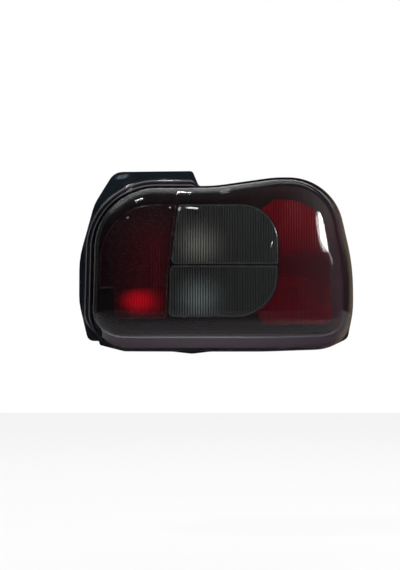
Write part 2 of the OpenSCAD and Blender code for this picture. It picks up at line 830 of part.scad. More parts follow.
bus_top = carrier_top - 7.5;
module indicator_strip() {
  color("#c8a24a") {
    strip([[pins_x[0], upper_row], [pins_x[0], indicator_at[1] + feed_top],
      [indicator_at[0], indicator_at[1] + feed_top]]);
    blade(pins_x[0], upper_row);
    feed(indicator_at, 1, 2, 0);
  }
}
module tail_strip() {
  color("#c8a24a") {
    strip([[pins_x[1], upper_row], [pins_x[1], bus_top], [tail_at[0], bus_top],
      [tail_at[0], tail_at[1] + feed_top]]);
    strip([[pins_x[1], bus_top], [stop_at[0], bus_top], [stop_at[0], stop_at[1] + feed_top]]);
    blade(pins_x[1], upper_row);
    feed(tail_at, 1, 2, 0);
    feed(stop_at, 1, -1.8, 3.5);
  }
}
module reversing_strip() {
  color("#c8a24a") {
    strip([[pins_x[0], lower_row], [pins_x[0], reversing_at[1] - feed_top],
      [reversing_at[0], reversing_at[1] - feed_top]]);
    blade(pins_x[0], lower_row);
    feed(reversing_at, -1, 2, 0);
  }
}
module fog_strip() {
  color("#c8a24a") {
    strip([[pins_x[1], lower_row], [pins_x[1], fog_at[1] - feed_top],
      [fog_at[0], fog_at[1] - feed_top]]);
    blade(pins_x[1], lower_row);
    feed(fog_at, -1, 2, 0);
  }
}
module stop_strip() {
  low = pz(-24);
  color("#c8a24a") {
    strip([[pins_x[2], lower_row], [pins_x[2], low], [stop_at[0], low],
      [stop_at[0], stop_at[1] - feed_top]]);
    blade(pins_x[2], lower_row);
    feed(stop_at, -1, -1.8, 3.5);
  }
}

clear_glass = "#e6ebee";
outer_lens();
lens_seal();
housing();
mounting_studs();
body_gasket();
breather_cap();
bezel();
left_inner_lens();
indicator_inner_lens();
reversing_inner_lens();
right_inner_lens();
tail_reflector();
fog_reflector();
indicator_reflector();
reversing_reflector();
stop_reflector();
bulb_glass(tail_at, clear_glass);  // tail_bulb_glass
bulb_glass(fog_at, clear_glass);  // fog_bulb_glass
bulb_glass(indicator_at, "#e39a3a");  // indicator_bulb_glass
bulb_glass(reversing_at, clear_glass);  // reversing_bulb_glass
bulb_glass(stop_at, clear_glass);  // stop_bulb_glass
bulb_cap(tail_at);  // tail_bulb_cap
bulb_cap(fog_at);  // fog_bulb_cap
bulb_cap(indicator_at);  // indicator_bulb_cap
bulb_cap(reversing_at);  // reversing_bulb_cap
bulb_cap(stop_at, twin_contacts);  // stop_bulb_cap
bulb_carrier();
carrier_seal();
earth_strip();
tail_strip();
stop_strip();
fog_strip();
indicator_strip();
reversing_strip();
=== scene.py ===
import math

import bmesh
import bpy
import numpy as np
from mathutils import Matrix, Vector


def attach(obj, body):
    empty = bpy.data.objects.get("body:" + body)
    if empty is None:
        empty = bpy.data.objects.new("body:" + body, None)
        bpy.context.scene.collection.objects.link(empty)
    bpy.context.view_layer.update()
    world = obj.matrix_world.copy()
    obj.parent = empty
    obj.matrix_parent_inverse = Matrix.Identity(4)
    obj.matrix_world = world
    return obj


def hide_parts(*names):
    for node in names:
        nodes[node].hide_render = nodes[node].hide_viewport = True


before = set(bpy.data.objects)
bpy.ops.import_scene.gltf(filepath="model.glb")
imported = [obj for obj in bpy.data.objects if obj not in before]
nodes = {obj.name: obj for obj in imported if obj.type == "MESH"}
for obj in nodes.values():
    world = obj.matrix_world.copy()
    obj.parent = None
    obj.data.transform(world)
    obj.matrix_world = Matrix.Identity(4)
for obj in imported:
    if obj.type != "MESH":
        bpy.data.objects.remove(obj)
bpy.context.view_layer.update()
print("frame loaded:", len(nodes), "nodes")

# Lengths below are millimetres in the part's frame, and are divided by 1000 on the way in.

# --- camera: square on to the flange, a little below it ---
cameraValues = {
    "aim": (-20.2, -9.0, -15.8),
    "distance": 1300.0,
    "below": 3.0,
    "shownHeight": 627.0,
}


def addCamera(v):
    data = bpy.data.cameras.new("camera")
    data.sensor_width = 36
    data.lens = 36 * v["distance"] / v["shownHeight"]
    data.clip_start, data.clip_end = 0.02, 50
    camera = bpy.data.objects.new("camera", data)
    bpy.context.scene.collection.objects.link(camera)
    tilt = math.radians(v["below"])
    aim = Vector(v["aim"]) / 1000
    away = v["distance"] / 1000
    camera.location = aim + Vector((0, -math.cos(tilt), -math.sin(tilt))) * away
    camera.rotation_euler = (aim - camera.location).to_track_quat("-Z", "Y").to_euler()
    bpy.context.scene.camera = camera


addCamera(cameraValues)
bpy.context.scene.view_settings.view_transform = "Standard"


# --- shader maths ---
class Wire:
    def __init__(self, graph, socket):
        self.graph = graph
        self.socket = socket

    def __add__(self, other):
        return self.graph.math("ADD", self, other)

    def __sub__(self, other):
        return self.graph.math("SUBTRACT", self, other)

    def __rsub__(self, other):
        return self.graph.math("SUBTRACT", other, self)

    def __mul__(self, other):
        return self.graph.math("MULTIPLY", self, other)

    def __truediv__(self, other):
        return self.graph.math("DIVIDE", self, other)

    def __pow__(self, other):
        return self.graph.math("POWER", self, other)

    __rmul__ = __mul__


class Graph:
    def __init__(self, tree):
        self.tree = tree
        self.coordinates = None

    def fill(self, socket, value):
        if isinstance(value, Wire):
            self.tree.links.new(value.socket, socket)
        elif isinstance(value, (tuple, list)):
            size = len(socket.default_value)
            socket.default_value = (tuple(value) + (1.0,) * size)[:size]
        else:
            socket.default_value = value

    # settings first, then values or links by socket name or number
    def node(self, kind, settings=None, values=None, out=0):
        made = self.tree.nodes.new(kind)
        for name, value in (settings or {}).items():
            setattr(made, name, value)
        for name, value in (values or {}).items():
            self.fill(made.inputs[name], value)
        return Wire(self, made.outputs[out])

    def math(self, operation, *values):
        return self.node("ShaderNodeMath", {"operation": operation}, dict(enumerate(values)))

    def point(self):
        if self.coordinates is None:
            raw = self.node("ShaderNodeTexCoord", out="Object")
            self.coordinates = self.node(
                "ShaderNodeVectorMath", {"operation": "SCALE"}, {0: raw, "Scale": 1000.0}
            )
        return self.coordinates

    def attribute(self, name):
        return self.node("ShaderNodeAttribute", {"attribute_name": name}, out="Fac")

    # 1 to the camera, and as much as share in reflections and through glass
    def shown(self, share):
        kinds = ("Is Camera Ray", "Is Glossy Ray", "Is Transmission Ray")
        seen, glossy, through = [self.node("ShaderNodeLightPath", out=kind) for kind in kinds]
        return self.math("MAXIMUM", seen, self.math("MAXIMUM", glossy, through) * share)

    def axes(self, vector=None):
        split = self.node("ShaderNodeSeparateXYZ", None, {0: vector or self.point()})
        return [Wire(self, out) for out in split.socket.node.outputs]

    def stretched(self, factors):
        return self.node(
            "ShaderNodeVectorMath", {"operation": "MULTIPLY"}, {0: self.point(), 1: factors}
        )

    # noise with features about size mm across
    def noise(self, size, detail=3.0, vector=None):
        return self.node(
            "ShaderNodeTexNoise",
            None,
            {
                "Vector": vector or self.point(),
                "Scale": 1.0 / size,
                "Detail": detail,
                "Roughness": 0.55,
            },
        )

    def smooth(self, value, low, high, to0=0.0, to1=1.0):
        return self.node(
            "ShaderNodeMapRange",
            {"interpolation_type": "SMOOTHSTEP", "clamp": True},
            {"Value": value, "From Min": low, "From Max": high, "To Min": to0, "To Max": to1},
        )

    def mix(self, factor, first, second, blend="MIX"):
        made = self.tree.nodes.new("ShaderNodeMix")
        made.data_type = "RGBA"
        made.blend_type = blend
        self.fill(made.inputs[0], factor)
        self.fill(made.inputs[6], first)
        self.fill(made.inputs[7], second)
        return Wire(self, made.outputs[2])

    def bump(self, height, distance, strength=1.0):
        values = {"Height": height, "Distance": distance / 1000, "Strength": strength}
        return self.node("ShaderNodeBump", None, values)


# A material with one Principled shader. build(graph) returns its varying values.
def material(name, constants, build):
    made = bpy.data.materials.new(name)
    made.use_nodes = True
    tree = made.node_tree
    tree.nodes.clear()
    graph = Graph(tree)
    shader = tree.nodes.new("ShaderNodeBsdfPrincipled")
    for socket, value in {**constants, **build(graph)}.items():
        graph.fill(shader.inputs[socket], value)
    output = tree.nodes.new("ShaderNodeOutputMaterial")
    tree.links.new(shader.outputs[0], output.inputs[0])
    return made


def dress(name, made):
    slots = nodes[name].data.materials
    if len(slots) == 0:
        slots.append(made)
    for i in range(len(slots)):
        slots[i] = made


# --- meshes from numpy grids ---
# joined merges points that fall together, which closes the poles
def meshObject(name, points, quads, triangles=(), joined=False):
    mesh = bpy.data.meshes.new(name)
    quads = np.asarray(quads, np.int32).reshape(-1, 4)
    triangles = np.asarray(triangles, np.int32).reshape(-1, 3)
    mesh.vertices.add(len(points))
    mesh.vertices.foreach_set("co", (np.asarray(points, float) / 1000).ravel())
    corners = np.concatenate([quads.ravel(), triangles.ravel()])
    mesh.loops.add(len(corners))
    mesh.loops.foreach_set("vertex_index", corners)
    starts = np.concatenate(
        [np.arange(len(quads)) * 4, len(quads) * 4 + np.arange(len(triangles)) * 3]
    )
    mesh.polygons.add(len(starts))
    mesh.polygons.foreach_set("loop_start", starts.astype(np.int32))
    mesh.polygons.foreach_set("use_smooth", np.ones(len(starts), bool))
    mesh.update(calc_edges=True)
    if joined:
        work = bmesh.new()
        work.from_mesh(mesh)
        bmesh.ops.remove_doubles(work, verts=work.verts, dist=1e-6)
        work.to_mesh(mesh)
        work.free()
    mesh.validate()
    made = bpy.data.objects.new(name, mesh)
    bpy.context.scene.collection.objects.link(made)
    return made


# Quads between rows of a grid of point numbers that closes on itself along each row.
def bandQuads(rows, count, first=0, flip=False):
    i = np.arange(count)
    j = (i + 1) % count
    k = np.arange(rows - 1)[:, None] * count + first
    quads = np.stack([k + j, k + count + j, k + count + i, k + i], -1)
    return (quads[..., ::-1] if flip else quads).reshape(-1, 4)


# --- outer lens ---
# The same surface as the solid's, on a finer grid: crown height
# c(x, z) = 44 - 0.0007 (x + 10)^2 - 0.0008 (z + 5)^2 - 0.0016 max(0, x - 56)^2
# outline: corners as (x, z, radius). lip: width over most of the rim, width at the left, thickness
# and height of a bead. beads: middle and half width, as shares of the lip's width. wide: where
# the lip gets wide, in z and in x. lean: draft of the wall, and how much the bottom and the right
# add to it. From creaseRow on, the rows of the crease carry a painted highlight, as much as listed
# for each.
lensValues = {
    "outline": [
        (-140.0, -86.0, 40.0),
        (50.0, -86.0, 300.0),
        (117.0, -84.2, 42.0),
        (139.6, -73.0, 32.0),
        (145.8, -44.0, 100.0),
        (145.8, 4.5, 228.0),
        (124.6, 101.0, 58.5),
        (62.0, 101.0, 130.0),
        (-5.0, 91.5, 150.0),
        (-136.0, 91.5, 69.0),
    ],
    "foot": -9.0,
    "crown": 44.0,
    "middle": (-10.0, -5.0),
    "wrap": 56.0,
    "bow": (0.0007, 0.0008, 0.0016),
    "wall": 2.8,
    "lip": (2.0, 10.0, 3.0, 1.5),
    "beads": ((0.72, 0.15), (0.26, 0.15)),
    "wide": ((-72, -48), (-22, -30)),
    "lean": (3.0, 9.0, 3.5),
    "slope": 18.0,
    "slopeFrom": 28.0,
    "wallShare": 0.65,
    "hub": (4.0, 4.0),
    "around": 460,
    "crease": 1.1,
    "join": 0.045,
    "creaseRow": 11,
    "creaseHighlight": (0.6, 1.8, 1.8, 1.8, 0.9, 0.2),
}


# Points and outward normals along the rounded outline, evenly spaced.
def outlineRing(corners, count):
    points, normals = [], []
    k = len(corners)
    for i in range(k):
        here = np.array(corners[i][:2])
        radius = corners[i][2]
        back = here - np.array(corners[i - 1][:2])
        on = np.array(corners[(i + 1) % k][:2]) - here
        back, on = back / np.linalg.norm(back), on / np.linalg.norm(on)
        side = np.sign(back[0] * on[1] - back[1] * on[0])
        turn = side * math.acos(float(back @ on))
        bisector = (on - back) / np.linalg.norm(on - back)
        middle = here + bisector * radius / math.cos(turn / 2)
        angle = math.atan2(-back[0], back[1]) + turn * np.linspace(0, 1, 60)
        normal = np.stack([np.cos(angle), np.sin(angle)], 1)
        points.append(middle + side * radius * normal)
        normals.append(normal)
    points, normals = np.concatenate(points), np.concatenate(normals)
    closed = np.concatenate([points, points[:1]])
    along = np.concatenate([[0], np.cumsum(np.linalg.norm(np.diff(closed, axis=0), axis=1))])
    normalsClosed = np.concatenate([normals, normals[:1]])
    want = np.linspace(0, along[-1], count, endpoint=False)
    at = np.stack([np.interp(want, along, closed[:, a]) for a in (0, 1)], 1)
    out = np.stack([np.interp(want, along, normalsClosed[:, a]) for a in (0, 1)], 1)
    return at, out / np.linalg.norm(out, axis=1)[:, None]


def ramp(value, low, high):
    share = np.clip((value - low) / (high - low), 0, 1)
    return share * share * (3 - 2 * share)


def crown(x, z):
    v = lensValues
    acrossBow, upBow, wrapBow = v["bow"]
    return (
        v["crown"]
        - acrossBow * (x - v["middle"][0]) ** 2
        - upBow * (z - v["middle"][1]) ** 2
        - wrapBow * np.maximum(0, x - v["wrap"]) ** 2
    )


def buildLens(v):
    at, normal = outlineRing(v["outline"], v["around"])
    rim, broad, lipHeight, ridge = v["lip"]
    upRange, acrossRange = v["wide"]
    wide = ramp(at[:, 1], *upRange) * ramp(at[:, 0], *acrossRange)
    lip = rim + (broad - rim) * wide
    least, bottom, right = v["lean"]
    lean = (
        least
        + bottom * np.maximum(0, -normal[:, 1]) ** 1.5
        + right * np.maximum(0, normal[:, 0]) ** 2
    )
    start = math.radians(v["slopeFrom"])
    hub = np.array(v["hub"])

    def skin(inset, height):
        p = at - inset[:, None] * normal
        return np.stack([p[:, 0], v["foot"] - height, p[:, 1]], 1)

    def slopePoint(share, t):
        a = start + (math.pi / 2 - start) * share
        along = v["slope"] * (math.cos(start) - math.cos(a)) / math.cos(start)
        rise = (math.sin(a) - math.sin(start)) / (1 - math.sin(start))
        inset = lean + along
        p = at - inset[:, None] * normal
        height = crown(p[:, 0], p[:, 1]) * (v["wallShare"] + (1 - v["wallShare"]) * rise)
        return skin(inset + t * math.cos(a), height - t * math.sin(a))

    def facePoint(share, t):
        edge = at - (lean + v["slope"])[:, None] * normal
        p = edge + (hub - edge) * share
        return np.stack([p[:, 0], v["foot"] - crown(p[:, 0], p[:, 1]) + t, p[:, 1]], 1)

    # the lip's section: (share of its width, height, share of the bead) from its edge to the wall
    section = [(1.0, 0.0, 0.0), (1.0, 0.7, -0.2), (0.985, 0.93, -0.2)]
    section += [(0.95, 1.0, -0.05), (0.9, 1.0, 0.0)]
    for middle, half in v["beads"]:
        for t in np.linspace(-1, 1, 9):
            section.append((middle - half * t, 1.0, 0.5 + 0.5 * math.cos(math.pi * t)))
    section.append((0.06, 1.0, 0.0))
    rows = [skin(-s * lip, h * lipHeight + rise * ridge * wide) for s, h, rise in section]
    foot = skin(0 * lip, lipHeight + 0 * lip)
    crest = slopePoint(0, 0)
    length = np.linalg.norm(crest - foot, axis=1)[:, None]
    toCrest = (crest - foot) / length
    # a small fillet where the wall leaves the lip, then the wall
    rows += [skin(-0.6 + 0 * lip, lipHeight + 0.05 + 0 * lip), foot + toCrest * 0.25]
    wall = length - 0.9 - v["crease"]
    rows += [foot + toCrest * (0.9 + wall * s) for s in np.linspace(0, 1, 9)]
    # the crease is rounded by a curve from the wall to the slope
    onSlope = slopePoint(v["join"], 0)
    onWall = crest - toCrest * v["crease"]
    for s in (0.25, 0.5, 0.75, 1.0):
        rows.append((1 - s) ** 2 * onWall + 2 * s * (1 - s) * crest + s * s * onSlope)
    rows += [slopePoint(s, 0) for s in np.linspace(v["join"], 1, 21)[1:]]
    rows += [facePoint(s, 0) for s in np.linspace(0, 1, 31)[1:-1]]
    outer = len(rows)
    inset = v["wall"]
    rows.append(skin(inset + 0 * lip, 0 * lip))
    rows += [slopePoint(s, inset) for s in np.linspace(0, 1, 11)]
    rows += [facePoint(s, inset) for s in np.linspace(0, 1, 13)[1:-1]]
    inner = len(rows) - outer
    count = v["around"]
    hubY = v["foot"] - crown(hub[0], hub[1])
    hubs = np.array([[hub[0], hubY, hub[1]], [hub[0], hubY + inset, hub[1]]])
    points = np.concatenate(rows + [hubs])
    last = len(points) - 1
    i = np.arange(count)
    j = (i + 1) % count
    endOuter = (outer - 1) * count
    endInner = (outer + inner - 1) * count
    quads = np.concatenate(
        [
            bandQuads(outer, count),
            bandQuads(inner, count, outer * count, flip=True),
            np.stack([outer * count + j, j, i, outer * count + i], 1),
        ]
    )
    triangles = np.concatenate(
        [
            np.stack([endOuter + j, np.full(count, last - 1), endOuter + i], 1),
            np.stack([endInner + i, np.full(count, last), endInner + j], 1),
        ]
    )
    made = meshObject("outerLens", points, quads, triangles)
    # how much a point belongs to the lip, and how much painted highlight its bead crests and the
    # crease carry
    flat = np.zeros((len(points), 2))
    for k, (share, height, ridge) in enumerate(section):
        flat[k * count : (k + 1) * count, 0] = 1
        flat[k * count : (k + 1) * count, 1] = ridge**2 * (wide if ridge > 0 else 0)
    # the painted highlight on the crease shows along the bottom, less so to the right
    under = ramp(-normal[:, 1], 0.3, 0.9) * ramp(at[:, 1], -60, -75)
    under *= 1 - 0.6 * ramp(at[:, 0], 0, 70)
    for k, share in enumerate(v["creaseHighlight"], v["creaseRow"]):
        first = (len(section) + k) * count
        flat[first : first + count, 1] = under * share
    for a, name in enumerate(("lip", "line")):
        kept = made.data.attributes.new(name, "FLOAT", "POINT")
        kept.data.foreach_set("value", flat[:, a].copy())
    return made


# colours of the body, the lip (dark, and warm at the right), the side wall and the skirt (painted
# lighter and purple, a painted reflection), the warm foot at the right and the thin painted
# highlight lines
smokedValues = {
    "tint": (0.005, 0.003, 0.004),
    "tintTwo": (0.007, 0.004, 0.006),
    "lip": (0.013, 0.012, 0.013),
    "lipWarm": (0.085, 0.060, 0.042),
    "side": (0.034, 0.012, 0.018),
    "skirt": (0.034, 0.008, 0.026),
    "warm": (0.066, 0.047, 0.034),
    "line": (0.17, 0.17, 0.20),
    "alpha": 0.35,
    "grazing": 0.5,
    "ior": 1.45,
    "roughness": 0.03,
}


def smokedPlastic(g):
    v = smokedValues
    haze = g.noise(60, 2)
    specks = g.noise(2.2, 4)
    lip = g.attribute("lip")
    # painted highlight: thin light lines on the lip's bead crests and along the crease
    line = g.attribute("line")
    x, y, z = g.axes()
    edge = g.mix(g.smooth(x, 100, 132), v["lip"], v["lipWarm"])
    body = g.mix(haze, v["tint"], v["tintTwo"])
    side = g.smooth(x, 112, 134)
    foot = g.smooth(y, -28, -20) * g.smooth(x, 126, 138)
    warm = g.smooth(y, -18, -12) * g.smooth(x, 118, 134)
    # painted reflection: the wall at the right, except a strip near its foot, and the skirt along
    # the bottom are painted lighter and purple
    body = g.mix(side * (1.0 - foot), body, v["side"])
    body = g.mix(g.smooth(z, -68, -76), body, v["skirt"])
    body = g.mix(warm, body, v["warm"])
    body = g.mix(lip, body, edge)
    scratches = g.noise(1.6, 3, g.stretched((0.12, 0.12, 1.0)))
    height = haze * 0.5 + scratches * 0.01
    # the tint is deeper where one looks along the wall
    facing = g.node("ShaderNodeLayerWeight", None, {"Blend": 0.5}, out="Facing")
    grazing = g.smooth(facing, 0.5, 0.95) * v["grazing"]
    alpha = lip * 0.52 + line * 0.12 + foot * 0.4 + grazing + v["alpha"]
    return {
        "Base Color": g.mix(line, body, v["line"]),
        "Alpha": g.math("MINIMUM", alpha, 0.95),
        "Roughness": g.smooth(specks, 0.35, 0.75, v["roughness"], v["roughness"] + 0.04),
        "Normal": g.bump(height, 0.35, 0.5),
    }


outerLens = buildLens(lensValues)
outerLens.data.materials.append(
    material("smokedLens", {"IOR": smokedValues["ior"]}, smokedPlastic)
)
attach(outerLens, "root")
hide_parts("outer_lens")
print("outer lens:", len(outerLens.data.polygons), "faces")


# --- studs with rolled threads ---
# thread radius at angle a and distance y along: r = 3 - 0.55 tooth((y - a / 2 pi) mod 1)
# head and knurl: radius, front and back
studValues = {
    "at": [(-122.0, -67.5), (122.0, -67.5), (-122.0, 67.5), (122.0, 67.5)],
    "radius": 3.0,
    "depth": 0.55,
    "plainTo": 2.5,
    "end": 22.0,
    "head": (6.0, -6.0, -3.0),
    "knurl": (3.6, -3.0, 0.0),
    "around": 20,
}


def buildStuds(v):
    points, quads = [], []
    count = v["around"]
    angle = 2 * math.pi * np.arange(count) / count

    def ring(radius, y):
        return np.stack([radius * np.cos(angle), np.full(count, y), radius * np.sin(angle)], 1)

    headR, headFront, headBack = v["head"]
    knurlR, knurlFront, knurlBack = v["knurl"]
    rows = [(0.0, headFront), (headR - 0.5, headFront), (headR, headFront + 0.5)]
    rows += [(headR, headBack - 0.4), (headR - 0.4, headBack), (knurlR, knurlFront)]
    rows += [(knurlR, knurlBack - 0.3), (v["radius"], knurlBack), (v["radius"], v["plainTo"])]
    threads = np.arange(v["plainTo"] + 0.2, v["end"] - 0.8, 1 / 6)
    for x, z in v["at"]:
        base = sum(len(p) for p in points)
        grid = [ring(radius, y) for radius, y in rows]
        for y in threads:
            phase = (y - angle / (2 * math.pi)) % 1
            tooth = np.abs(phase * 2 - 1)
            fade = np.clip((y - v["plainTo"]) / 1.5, 0, 1)
            cut = v["depth"] * fade * np.clip(tooth * 1.3 - 0.15, 0, 1)
            grid.append(ring(v["radius"] - cut, y))
        grid += [ring(v["radius"] - 0.7, v["end"] - 0.1), ring(0.0, v["end"])]
        grid = np.concatenate(grid) + [x, 0, z]
        points.append(grid)
        quads.append(bandQuads(len(grid) // count, count, base, flip=True))
    return meshObject("threadedStuds", np.concatenate(points), np.concatenate(quads), joined=True)


def zincSteel(g):
    grain = g.noise(0.8, 4)
    cloud = g.noise(5, 3)
    return {
        "Base Color": g.mix(cloud, (0.56, 0.57, 0.58), (0.70, 0.68, 0.60)),
        "Roughness": g.smooth(grain, 0.3, 0.7, 0.25, 0.45),
        "Normal": g.bump(grain, 0.03),
    }


threadedStuds = buildStuds(studValues)
threadedStuds.data.materials.append(material("zincSteel", {"Metallic": 1.0}, zincSteel))
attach(threadedStuds, "root")
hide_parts("mounting_studs")
print("studs:", len(threadedStuds.data.polygons), "faces")


# --- housing: dark blue-grey moulding with a fine grain ---
# dish: the tab's corner is dished, so that it catches the light; middle (x, z) and reach
housingValues = {
    "dark": (0.005, 0.007, 0.010),
    "light": (0.0085, 0.012, 0.017),
    "dishMiddle": (-106, 104),
    "dishReach": (10, 6),
    "dishTilt": (0.28, 0.55),
    "grain": 0.024,
}


def housingPlastic(g):
    v = housingValues
    grain = g.noise(0.9, 3)
    cloud = g.noise(35, 3)
    x, y, z = g.axes()
    # the flange's front face is smoother than the rest
    front = g.smooth(y, -7.5, -8.5)
    across, up = x - v["dishMiddle"][0], z - v["dishMiddle"][1]
    far = (across / v["dishReach"][0]) ** 2.0 + (up / v["dishReach"][1]) ** 2.0
    corner = g.math("EXPONENT", far * -1.0) * front
    dish = corner * (across * v["dishTilt"][0] - up * v["dishTilt"][1])
    return {
        "Base Color": g.mix(cloud, v["dark"], v["light"]),
        "Roughness": g.smooth(grain, 0.3, 0.7, 0.32, 0.44) - front * 0.08 + corner * 0.06,
        "Normal": g.bump(grain * v["grain"] + dish, 1.0),
    }


housingGloss = {"IOR": 1.5, "Specular IOR Level": 0.15, "Specular Tint": (0.75, 0.9, 1.0)}
dress("housing", material("housingPlastic", housingGloss, housingPlastic))


# --- bezel: satin black mask, with a painted brown reflection at the upper right ---
bezelValues = {
    "dark": (0.004, 0.004, 0.005),
    "light": (0.009, 0.008, 0.009),
    "warm": (0.05, 0.026, 0.022),
}


def bezelPlastic(g):
    v = bezelValues
    grain = g.noise(0.7, 2)
    cloud = g.noise(28, 2)
    x, y, z = g.axes()
    # painted reflection: browner towards the upper right
    warm = g.smooth(x, -20, 80) * g.smooth(z, 30, 70)
    base = g.mix(cloud, v["dark"], v["light"])
    return {
        "Base Color": g.mix(warm, base, v["warm"]),
        "Roughness": g.smooth(grain, 0.3, 0.7, 0.30, 0.42),
        "Normal": g.bump(grain, 0.03, 0.6),
    }


dress("bezel", material("bezelPlastic", {"IOR": 1.5, "Specular IOR Level": 0.1}, bezelPlastic))


# --- inner lenses ---
# Soft light that the bowl behind throws on the lens, around a bulb at (cx, cz).
def glow(g, cx, cz, rx, rz, power):
    x, y, z = g.axes()
    d = ((x - cx) / rx) ** 2.0 + ((z - cz) / rz) ** 2.0
    return g.math("EXPONENT", d * -power)


# The solids' flutes, from x0 on, as a wave across them; the colours paint shade with it, as dark
# lines between the flutes.
flutePitch = 2.8


def flutes(g, x0):
    x, y, z = g.axes()
    return 0.5 - 0.5 * g.math("COSINE", (x - x0) * (2 * math.pi / flutePitch))


redValues = {
    "leftDeep": (0.024, 0.0035, 0.0045),
    "leftLit": (0.25, 0.007, 0.013),
    "fog": (0.95, 0.004, 0.018),
    "fogGlow": (0.9, 0.002, 0.02),
    "core": (-87, -34, 16, 11, 1.0),
    "spill": (-82, -35, 27, 17, 1.2),
    "valleyShade": (0.014, 0.002, 0.003),
    "rightDeep": (0.21, 0.004, 0.012),
    "rightLit": (0.42, 0.009, 0.018),
    "band": (0.05, 0.008, 0.011),
    "corner": (0.055, 0.005, 0.009),
    "shade": (0.07, 0.004, 0.007),
    "rightValleyShade": (0.05, 0.004, 0.006),
}


def leftRed(g):
    v = redValues
    x, y, z = g.axes()
    ribs = flutes(g, -131)
    dust = g.noise(6, 4)
    upper = g.smooth(x, -125, -60) * g.smooth(z, 75, 20)
    base = g.mix(upper, v["leftDeep"], v["leftLit"])
    base = g.mix(g.smooth(x, -68, -50) * 0.6, base, v["leftDeep"])
    # painted shade: dark lines along the flutes
    base = g.mix(ribs * 0.6, base, v["valleyShade"])
    low = g.smooth(z, -15, -24)
    core = glow(g, *v["core"])
    spill = glow(g, *v["spill"])
    hatch = g.math("SINE", (x * 0.55 + z) * 3.4) * 0.5 + 0.5
    spot = (core * 0.75 + spill * 0.45) * low * (1.0 - hatch * 0.3)
    lit = g.mix(g.smooth(spot, 0.0, 1.0), base, v["fog"])
    return {
        "Base Color": g.mix(dust * 0.15, lit, (0.03, 0.006, 0.008)),
        "Emission Color": g.mix(g.smooth(spot, 0.1, 1.1), (0, 0, 0), v["fogGlow"]),
        "Roughness": g.smooth(dust, 0.3, 0.7, 0.10, 0.2),
        "Normal": g.bump(ribs, 0.25, 0.7),
    }


def rightRed(g):
    v = redValues
    x, y, z = g.axes()
    ribs = flutes(g, 36)
    dust = g.noise(8, 4)
    shade = g.noise(34, 2)
    band = g.smooth(z, -16, 0) * g.smooth(z, 22, 8)
    corner = g.smooth(x, 84, 116) * g.smooth(z, 44, -6) * g.smooth(z, -50, -20)
    base = g.mix(g.smooth(z, 8, 58), v["rightDeep"], v["rightLit"])
    base = g.mix(band * 0.55, base, v["band"])
    base = g.mix(corner * 0.5, base, v["corner"])
    base = g.mix(g.smooth(shade, 0.45, 0.75) * 0.3, base, v["shade"])
    # painted shade: dark lines along the flutes, stronger higher up
    base = g.mix(ribs * (g.smooth(z, 18, 40) * 0.14 + 0.06), base, v["rightValleyShade"])
    return {
        "Base Color": g.mix(dust * 0.12, base, (0.10, 0.012, 0.014)),
        "Roughness": g.smooth(dust, 0.3, 0.7, 0.10, 0.2),
        "Normal": g.bump(ribs, 0.06, 0.6),
    }


# x0: where the solid's flutes start, bulb: its place, lit: the colour of its glow
clearValues = {
    "indicator": {"x0": -56, "bulb": (-22, 26), "lit": (0.74, 0.77, 0.66)},
    "reversing": {"x0": -59, "bulb": (-22, -32), "lit": (0.62, 0.76, 0.74)},
    "dark": (0.070, 0.086, 0.080),
    "light": (0.088, 0.104, 0.096),
    "valleyShade": (0.003, 0.005, 0.004),
    "dust": (0.05, 0.055, 0.052),
}


def clearOptic(kind):
    v = clearValues

    def build(g):
        x, y, z = g.axes()
        ribs = flutes(g, kind["x0"])
        dust = g.noise(7, 4)
        spot = glow(g, *kind["bulb"], 22, 22, 1.5)
        left = g.smooth(x, 30, -20)
        base = g.mix(left, v["dark"], v["light"])
        base = g.mix(spot, base, kind["lit"])
        # painted shade: dark lines in the flutes' valleys, stronger to the left
        valleyShade = (1.0 - ribs) ** 1.5
        base = g.mix(valleyShade * (left * 0.7 + 0.25), base, v["valleyShade"])
        return {
            "Base Color": g.mix(dust * 0.2, base, v["dust"]),
            "Roughness": g.smooth(dust, 0.3, 0.7, 0.08, 0.16),
            "Normal": g.bump(ribs, 0.2, 0.6),
        }

    return build


# the lens, its material, Alpha, Specular IOR Level and Emission Strength
for lens, name, alpha, gloss, strength, build in (
    ("left", "leftRedLens", 0.82, 0.05, 0.35, leftRed),
    ("right", "rightRedLens", 0.85, 0.05, 0.0, rightRed),
    ("indicator", "indicatorLens", 0.88, 0.1, 0.0, clearOptic(clearValues["indicator"])),
    ("reversing", "reversingLens", 0.88, 0.1, 0.0, clearOptic(clearValues["reversing"])),
):
    constants = {"Alpha": alpha, "IOR": 1.55, "Specular IOR Level": gloss}
    constants["Emission Strength"] = strength
    dress(lens + "_inner_lens", material(name, constants, build))


# --- rounded edges of the inner lenses, which catch the light ---
# A low rim along each outline of (x, z, radius) corners, swept from a section of (outward, proud
# of the face) points. The face's depth is crown(x, level) - gap, the same over its height.
edgeValues = {
    "clear": [
        [(-52.0, 5.4, 6.0), (64.0, 5.4, 2.0), (64.0, 69.5, 40.0), (-43.6, 69.5, 3.0)],
        [(-54.2, -51.5, 6.0), (62.0, -51.5, 46.0), (63.5, 3.6, 2.0), (-52.4, 3.6, 6.0)],
    ],
    "red": [
        [
            (-112.5, -53.5, 8.0),
            (-56.2, -53.5, 6.0),
            (-55.0, -5.0, 150.0),
            (-45.5, 70.0, 2.5),
            (-128.0, 70.0, 60.0),
            (-129.4, -20.5, 2.0),
            (-113.5, -20.5, 0.5),
        ],
    ],
    "section": [
        (0.1, -1.0),
        (0.2, -0.1),
        (0.1, 0.1),
        (-0.4, 0.42),
        (-0.95, 0.72),
        (-1.25, 0.78),
        (-1.5, 0.68),
        (-1.8, 0.05),
        (-1.8, -1.0),
    ],
    "gap": 13.0,
    "level": -5.0,
    "along": 420,
}


